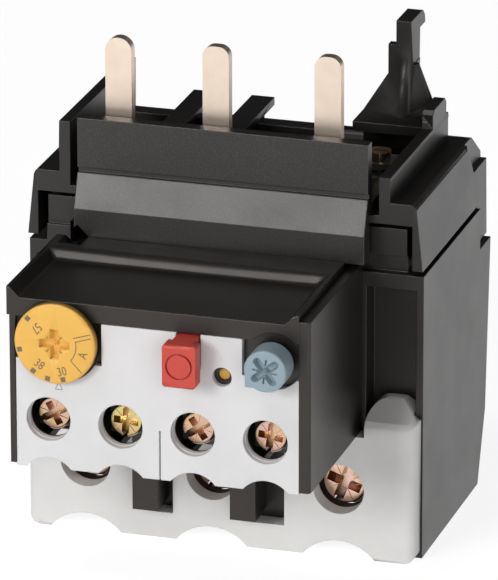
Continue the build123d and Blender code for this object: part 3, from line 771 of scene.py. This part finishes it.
class RELAY_OT_metals(bpy.types.Operator):
    """Finish the blades, clamps, rails, strips, windings and springs"""

    bl_idname = "relay.metals"
    bl_label = "Finish Metals"

    # Middle of each blade along X and the radius of its tip's corners, in millimetres
    blade_tips = ((-17.0, 2.0), (-2.2, 1.6), (14.7, 1.7))

    def execute(self, context):
        finish = settings().finish
        tinned = metal("Tinned Copper", finish.blade, 0.42)
        half, sheet, around, end = 2, (5.55, 7.15), (5.0, 8.0), 75.0
        for number, (x, tip_round) in enumerate(self.blade_tips, start=1):
            name = f"contact_blade_{number}"
            stub = carved(node_mesh(name), [box_of((x - 3, x + 3), around, (70.0, 76.0))])
            tip = box_of((x - half, x + half), sheet, (69.5, end))
            corners = [((x + side * half, end), (side, 1)) for side in (-1, 1)]
            rounds = [corner_cut(corner, way, tip_round, *around) for corner, way in corners]
            blade = merged(stub, [carved(tip, rounds)], "UNION")
            dress(f"blade_{number}_dressed", blade, tinned, name)
        bars = numbered("load_bar", POLES) + numbered("contact_rail", CONTACTS)
        # Painted shade: the bars are darkened to half the blade tone, as they sit deep in the shaded
        # terminal holes
        paint(bars, metal("Conductor", scaled(finish.blade, 0.5), 0.45))
        clamps = numbered("main_clamp", POLES) + numbered("control_clamp", CONTACTS) + ["calibration_strap"]
        # Painted shade: the clamps are darkened to about half their plated tone, as they sit deep in the
        # shaded terminal holes
        paint(clamps, metal("Clamp Steel", scaled(finish.clamp, 0.55), 0.42))
        paint(numbered("bimetal_strip", POLES), metal("Bimetal", scaled(finish.clamp, 0.85), 0.4))
        paint(numbered("heater_winding", POLES), metal("Heater Wire", scaled(finish.plating, 0.8), 0.35))
        springs = ["stop_spring", "reset_spring", "snap_spring"]
        paint(springs, metal("Spring Steel", scaled(finish.clamp, 0.7), 0.28))
        return {"FINISHED"}


class RELAY_OT_mechanism(bpy.types.Operator):
    """Finish the dial, plunger, indicator and the inner levers"""

    bl_idname = "relay.mechanism"
    bl_label = "Finish Mechanism"

    def execute(self, context):
        finish = settings().finish
        amber = plastic("Dial Moulding", finish.dial, 0.42, 4.5, grain=0.3, flecks=0.03, edge_highlight=0.1, sheer=0.05)
        paint(["trip_indicator"], amber)
        low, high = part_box("setting_dial")
        x, z, front = (low.x + high.x) / 2, (low.z + high.z) / 2, low.y
        cutters = drive_recess(x, z, front, 0.0, arm=(2.35, 1.6, 1.3), ray=(1.75, 0.3, 0.35))
        dial = carved(node_mesh("setting_dial"), cutters)
        dress("dial_dressed", dial, amber, "setting_dial", "dial")
        paint(["reset_plunger"], plastic("Plunger Moulding", finish.reset, 0.4, 4.5, grain=0.3))
        levers = ["trip_slide", "trip_lever", "contact_rocker", "adjusting_lever"]
        pale = plastic("Lever Moulding", finish.mechanism, 0.5, 4.5, grain=0.4, flecks=0.04, edge_highlight=0.1)
        paint(levers, pale)
        return {"FINISHED"}


class RELAY_OT_stop_button(bpy.types.Operator):
    """Build the stop button with its ring groove"""

    bl_idname = "relay.stop_button"
    bl_label = "Build Stop Button"

    def execute(self, context):
        finish = settings().finish
        red = plastic("Button Moulding", finish.stop, 0.4, 4.5, grain=0.4, flecks=0.03, edge_highlight=0.15, sheer=0.05)
        low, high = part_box("stop_button")
        x, z, front = (low.x + high.x) / 2, (low.z + high.z) / 2, low.y
        ahead, deep = front - 0.3 * MM, front + 0.4 * MM
        inner, outer = 1.72 * MM, 2.02 * MM
        groove = lathe([(inner, ahead), (outer, ahead), (outer, deep), (inner, deep)], x, z, 48, True)
        button = carved(node_mesh("stop_button"), [groove])
        dress("stop_dressed", button, red, "stop_button", "stop")
        return {"FINISHED"}


class RELAY_OT_reset_knob(bpy.types.Operator):
    """Build the reset knob"""

    bl_idname = "relay.reset_knob"
    bl_label = "Build Reset Knob"

    def execute(self, context):
        finish = settings().finish
        blue = plastic("Knob Moulding", finish.reset, 0.42, 4.5, grain=0.4, flecks=0.05, edge_highlight=0.25)
        low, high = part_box("reset_knob")
        plunger = middle("reset_plunger")
        x, z, front, back = plunger.x, plunger.z, low.y, high.y
        radius = (high.x - low.x) / 2
        profile = [(0.0, front), *rounded_edge(radius, front, 0.3 * MM), (radius, back), (0.0, back)]
        knob = lathe(profile, x, z, 64)
        left, foot = x - 2.95 * MM, z - 2.6 * MM
        corner = prism([(x, z), (left, z), (left, foot), (x, foot)], front + 0.1 * MM, front + 2.2 * MM)
        knob = merged(knob, [corner], "UNION")
        turn = math.radians(38)
        cutters = drive_recess(x, z, front, turn, arm=(2.5, 1.2, 1.05), ray=(1.9, 0.26, 0.35))
        spindle, start, end = 1.05 * MM, front + 1.2 * MM, back + MM
        cutters.append(lathe([(0.0, start), (spindle, start), (spindle, end), (0.0, end)], x, z, 32))
        dress("knob_dressed", carved(knob, cutters), blue, "reset_knob", "knob")
        return {"FINISHED"}


class RELAY_OT_screws(bpy.types.Operator):
    """Build the terminal screws with rounded heads, cross recess and slot"""

    bl_idname = "relay.screws"
    bl_label = "Build Screws"

    # Turn of each slot in degrees
    control_turns = (208.0, 266.0, 215.0, 262.0)
    main_turns = (240.0, 250.0, 250.0)

    def screw(self, node, body, turn, material):
        """A screw inside the bounds of its CAD node, with its slot turned by an angle."""
        # Rim, slot width and recess are given for a head with a radius of 2.5 mm
        given = settings().screws
        low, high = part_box(node)
        x, z, front = (low.x + high.x) / 2, (low.z + high.z) / 2, low.y
        head_radius = (high.x - low.x) / 2
        scale = head_radius / (2.5 * MM)
        small = scale < 1.2
        head_depth = 1.8 * MM if small else 2.8 * MM
        shank_radius = head_radius * (0.6 if small else 0.72)
        pitch = 0.6 * MM if small else 0.8 * MM
        root_radius = shank_radius - pitch * 0.35
        tip_radius = shank_radius * 0.8
        back = front + head_depth
        profile = [(0.0, front), *rounded_edge(head_radius, front, given.edge_radius * scale)]
        profile += [(head_radius, back), (shank_radius, back)]
        y = back + pitch / 2
        while y + pitch < high.y:
            profile += [(shank_radius, y), (root_radius, y + pitch / 2)]
            y += pitch
        profile += [(tip_radius, high.y), (0.0, high.y)]
        solid = lathe(profile, x, z, given.segments)
        ahead = front - MM
        slot_width, slot_reach = given.slot_width * scale, head_radius * 1.2
        slot = bar(x, z, turn, -slot_reach, slot_reach, slot_width)
        cutters = [prism(slot, ahead, front + given.slot_depth)]
        arm_reach, arm_width, arm_taper = head_radius * 0.92, slot_width * 1.8, 0.55
        deep = front + given.recess_depth * scale
        for quarter in range(2):
            outline = bar(x, z, turn + quarter * math.pi / 2, -arm_reach, arm_reach, arm_width)
            cutters.append(prism(outline, ahead, deep, arm_taper, (x, z)))
        ray_start, ray_end = head_radius * 0.25, head_radius * 0.85
        ray_width, ray_depth = 0.16 * MM, 0.18 * MM
        for quarter in range(4):
            way = turn + math.pi / 4 + quarter * math.pi / 2
            outline = bar(x, z, way, ray_start, ray_end, ray_width)
            cutters.append(prism(outline, ahead, front + ray_depth))
        mesh = carved(solid, cutters)
        smooth_by_angle(mesh, 35)
        add_piece(node + "_dressed", mesh, body, material, (node,))

    def execute(self, context):
        tone = settings().finish.plating
        pink, yellow = (0.58, 0.38, 0.34), (0.60, 0.51, 0.20)
        for number, turn in zip(CONTACTS, self.control_turns):
            other = yellow if number == 2 else pink
            material = plated(f"Control Screw Plating {number}", tone, other)
            body = f"control_screw_body_{number}"
            self.screw(f"control_screw_{number}", body, math.radians(turn), material)
        main = plated("Main Screw Plating", scaled(tone, 0.8), (0.75, 0.5, 0.45))
        for number, turn in zip(POLES, self.main_turns):
            self.screw(f"main_screw_{number}", f"main_screw_body_{number}", math.radians(turn), main)
        paint(["calibration_screw"], plated("Calibration Plating", tone, (0.86, 0.7, 0.45)))
        return {"FINISHED"}


def stroke(first, last, width):
    """Corners of a straight line between two points."""
    along = last - first
    return bar(first.x, first.y, math.atan2(along.y, along.x), 0, along.length, width)


def printed(outline, front):
    """A printed mark that stands a little proud of a front face."""
    return prism(outline, front - settings().marks.print_depth, front + PRINT_SINK)


class RELAY_OT_dial_marks(bpy.types.Operator):
    """Print the scale ticks, figures and the sector on the dial"""

    bl_idname = "relay.dial_marks"
    bl_label = "Print Dial"

    # Directions of the ticks in degrees, counted from the right
    ticks = (137.7, -166.8, -126.6, -101.1, -76.0)

    # Each text with its direction in degrees and its distance from the middle in millimetres
    figures = (("57", 139.6, 3.45), ("38", -125.2, 3.95), ("30", -74.4, 4.2), ("A", -15.5, 4.5))

    # Ends of the straight lines, in millimetres from the middle
    lines = (((2.85, 1.24), (5.45, 2.07)), ((3.13, 0.69), (5.55, 1.49)), ((2.57, -2.29), (4.1, -3.9)))

    # Start and clockwise sweep of the arc in degrees, and its radius in millimetres
    arc = (12.4, 54.1, 3.3)

    # Size of the font over the height of the figures, and the share of its width that they keep
    font_size = 1.4
    narrowing = 0.78

    def execute(self, context):
        marks = settings().marks
        low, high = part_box("setting_dial")
        x, z, front = (low.x + high.x) / 2, (low.z + high.z) / 2, low.y
        outer = (high.x - low.x) / 2 - 0.32 * MM
        meshes = []
        for degrees in self.ticks:
            outline = bar(x, z, math.radians(degrees), outer - marks.tick_length, outer, marks.tick_width)
            meshes.append(printed(outline, front))
        for text, degrees, reach in self.figures:
            middle_of_print = (x, front - marks.print_depth, z)
            meshes.append(self.figure(text, math.radians(degrees), reach * MM, middle_of_print, marks))
        start, sweep, radius = self.arc
        steps = 8
        turns = [math.radians(start - sweep * step / steps) for step in range(steps + 1)]
        bends = [(radius * math.cos(turn), radius * math.sin(turn)) for turn in turns]
        for pair in [*self.lines, *zip(bends, bends[1:])]:
            first, last = (Vector((x + u * MM, z + v * MM)) for u, v in pair)
            meshes.append(printed(stroke(first, last, marks.line_width), front))
        dial_ink = ink("Dial Ink", settings().finish.ink)
        add_piece("dial_marks", joined(meshes), "dial", dial_ink)
        return {"FINISHED"}

    def figure(self, text, direction, reach, middle_of_print, marks):
        """Figures that stand with their feet towards the rim."""
        curve = bpy.data.curves.new("figure", "FONT")
        curve.body = text
        curve.size = marks.figure_height * self.font_size
        curve.align_x = "CENTER"
        curve.align_y = "CENTER"
        curve.extrude = marks.print_depth
        carrier = bpy.data.objects.new("figure", curve)
        bpy.context.scene.collection.objects.link(carrier)
        bpy.context.view_layer.update()
        graph = bpy.context.evaluated_depsgraph_get()
        mesh = bpy.data.meshes.new_from_object(carrier.evaluated_get(graph))
        bpy.data.objects.remove(carrier)
        stand = Matrix.Rotation(math.pi / 2, 4, "X")
        narrow = Matrix.Diagonal((self.narrowing, 1.0, 1.0, 1.0))
        spin = Matrix.Rotation(-(direction + math.pi / 2), 4, "Y")
        x, y, z = middle_of_print
        centre = Vector((x + reach * math.cos(direction), y, z + reach * math.sin(direction)))
        mesh.transform(Matrix.Translation(centre) @ spin @ stand @ narrow)
        return mesh


class RELAY_OT_plate_marks(bpy.types.Operator):
    """Print the index triangle on the front plate"""

    bl_idname = "relay.plate_marks"
    bl_label = "Print Plate"

    def execute(self, context):
        marks = settings().marks
        dial, dial_foot = middle("setting_dial"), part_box("setting_dial")[0].z
        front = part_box("front_plate")[0].y
        gap, height, width = 0.35 * MM, 1.15 * MM, marks.line_width * 0.8
        half = marks.pointer_width / 2
        top = Vector((dial.x, dial_foot - gap))
        foot = top.y - height
        corners = [top, Vector((dial.x + half, foot)), Vector((dial.x - half, foot))]
        sides = zip(corners, corners[1:] + corners[:1])
        triangle = joined([printed(stroke(first, last, width), front) for first, last in sides])
        plate_ink = ink("Plate Ink", (0.25, 0.24, 0.24))
        add_piece("index_mark", triangle, "housing", plate_ink)
        return {"FINISHED"}


class RELAY_OT_stage(bpy.types.Operator):
    """Set the floor, the lamps and the camera"""

    bl_idname = "relay.stage"
    bl_label = "Set Stage"

    # What the camera and the lamps are turned to, in millimetres
    camera_aim = (6.7, -13.2, 43.0)
    lamp_aim = (0, 0, 35)

    # Lightness of the floor for light that no camera sees, and its brightness in the picture
    paper = 0.6
    backdrop = 0.87

    def execute(self, context):
        stage = settings().stage
        scene = context.scene
        self.floor(stage)
        self.world(stage)
        self.lamp("Key", (-0.35, -0.85, 0.375), stage.key_power, 0.34)
        self.lamp("Fill", (0.55, -0.75, 0.34), stage.fill_power, 0.5)
        self.lamp("Top", (-0.27, -0.34, 0.935), stage.top_power, 0.26)
        self.lamp("Back", (0.45, 0.80, 0.75), stage.back_power, 0.5)
        azimuth, elevation = stage.azimuth, stage.elevation
        flat = math.cos(elevation)
        back = Vector((math.sin(azimuth) * flat, -math.cos(azimuth) * flat, math.sin(elevation)))
        aim = Vector(self.camera_aim) * MM
        camera_data = bpy.data.cameras.new("Camera")
        camera = bpy.data.objects.new("Camera", camera_data)
        scene.collection.objects.link(camera)
        camera.location = aim + back * stage.distance
        turned = (-back).to_track_quat("-Z", "Y").to_matrix() @ Matrix.Rotation(stage.roll, 3, "Z")
        camera.rotation_euler = turned.to_euler()
        camera_data.lens = stage.lens
        camera_data.sensor_width = 36.0
        camera_data.clip_start = 0.05
        camera_data.clip_end = 20.0
        scene.camera = camera
        scene.view_settings.view_transform = "Standard"
        return {"FINISHED"}

    def floor(self, stage):
        shape = bmesh.new()
        bmesh.ops.create_grid(shape, x_segments=1, y_segments=1, size=6.0)
        floor = bpy.data.objects.new("floor", from_bmesh("floor", shape))
        bpy.context.scene.collection.objects.link(floor)
        material, tree, shader = blank_material("Studio Paper")
        shader.inputs["Roughness"].default_value = 1.0
        shader.inputs["Specular IOR Level"].default_value = 0.0
        path = place(tree, "ShaderNodeLightPath")
        seen, mirrored = path.outputs["Is Camera Ray"], path.outputs["Is Glossy Ray"]
        lit = spread(tree, maths(tree, "MAXIMUM", seen, mirrored), self.paper, stage.shadow)
        tree.links.new(blend(tree, lit, (0.0, 0.0, 0.0), (1.0, 1.0, 1.0)), shader.inputs["Base Color"])
        shader.inputs["Emission Color"].default_value = (1.0, 1.0, 1.0, 1.0)
        given = spread(tree, mirrored, stage.bounce, stage.sheen)
        glow = place(tree, "ShaderNodeMapRange", {"Value": seen, "To Min": given, "To Max": self.backdrop})
        tree.links.new(glow.outputs[0], shader.inputs["Emission Strength"])
        floor.data.materials.append(material)

    def world(self, stage):
        world = bpy.data.worlds.new("Studio")
        bpy.context.scene.world = world
        world.use_nodes = True
        tree = world.node_tree
        tree.nodes.clear()
        path = place(tree, "ShaderNodeLightPath").outputs
        seen = maths(tree, "MAXIMUM", path["Is Camera Ray"], path["Is Transmission Ray"])
        strength = place(tree, "ShaderNodeMapRange", {"Value": seen, "To Min": stage.sky, "To Max": 1.0})
        white = {"Color": (1, 1, 1, 1), "Strength": strength.outputs[0]}
        background = place(tree, "ShaderNodeBackground", white)
        out = place(tree, "ShaderNodeOutputWorld")
        tree.links.new(background.outputs[0], out.inputs[0])

    def lamp(self, name, where, power, size):
        data = bpy.data.lights.new(name, "AREA")
        data.energy = power
        data.shape = "SQUARE"
        data.size = size
        lamp = bpy.data.objects.new(name, data)
        bpy.context.scene.collection.objects.link(lamp)
        lamp.location = where
        aim = Vector(self.lamp_aim) * MM
        lamp.rotation_euler = (aim - Vector(where)).to_track_quat("-Z", "Y").to_euler()


OPERATORS = (
    RELAY_OT_shell,
    RELAY_OT_control_block,
    RELAY_OT_covers,
    RELAY_OT_metals,
    RELAY_OT_mechanism,
    RELAY_OT_stop_button,
    RELAY_OT_reset_knob,
    RELAY_OT_screws,
    RELAY_OT_dial_marks,
    RELAY_OT_plate_marks,
    RELAY_OT_stage,
)


class RELAY_PT_sidebar(bpy.types.Panel):
    """Lists the relay's operators in the order in which they run"""

    bl_idname = "RELAY_PT_sidebar"
    bl_label = "Overload Relay"
    bl_space_type = "VIEW_3D"
    bl_region_type = "UI"
    bl_category = "Relay"

    def draw(self, context):
        for operator in OPERATORS:
            self.layout.operator(operator.bl_idname)


CLASSES = (
    RelayFinishSettings,
    RelayMarkSettings,
    RelayScrewSettings,
    RelayStageSettings,
    RelaySettings,
    *OPERATORS,
    RELAY_PT_sidebar,
)


def register():
    for kind in CLASSES:
        bpy.utils.register_class(kind)
    bpy.types.Scene.relay = PointerProperty(type=RelaySettings)


def unregister():
    del bpy.types.Scene.relay
    for kind in reversed(CLASSES):
        bpy.utils.unregister_class(kind)


def main():
    register()
    for operator in OPERATORS:
        area, name = operator.bl_idname.split(".")
        getattr(getattr(bpy.ops, area), name)()
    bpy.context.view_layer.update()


if __name__ == "__main__":
    main()
